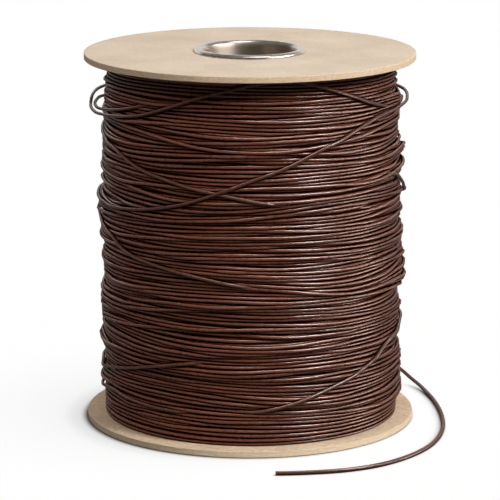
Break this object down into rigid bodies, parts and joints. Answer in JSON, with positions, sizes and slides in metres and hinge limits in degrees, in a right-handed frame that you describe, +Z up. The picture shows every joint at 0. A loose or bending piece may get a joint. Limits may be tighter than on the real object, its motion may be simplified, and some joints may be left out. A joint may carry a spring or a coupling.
{
  "type": "waxed thread spool",
  "caption": "Board-flanged spool with metal-eyeleted through hole, wound with thick dark brown waxed thread whose free end trails on the surface.",
  "frame": {"origin": "centre of the lower flange's underside, on the spool's axis", "axes": "+Z up along the spool's axis; -Y towards the side where the cut end of the free thread lies; the free thread leaves the winding at the +Y side and comes round by +X"},
  "size_m": [0.0986, 0.1057, 0.1024],
  "materials": {
    "board": "plain pale tan chipboard, matt, fine fibre fleck",
    "tube_board": "grey-brown wound paperboard, matt",
    "ferrule_metal": "nickel-plated steel, satin",
    "waxed_thread": "dark brown waxed thread, soft waxy sheen"
  },
  "bodies": {
    "root": {"bottom_flange": "board", "top_flange": "board", "core_tube": "tube_board", "bottom_ferrule": "ferrule_metal", "top_ferrule": "ferrule_metal", "thread_pack": "waxed_thread", "outer_turns": "waxed_thread", "thread_tail": "waxed_thread"}
  },
  "joints": []
}
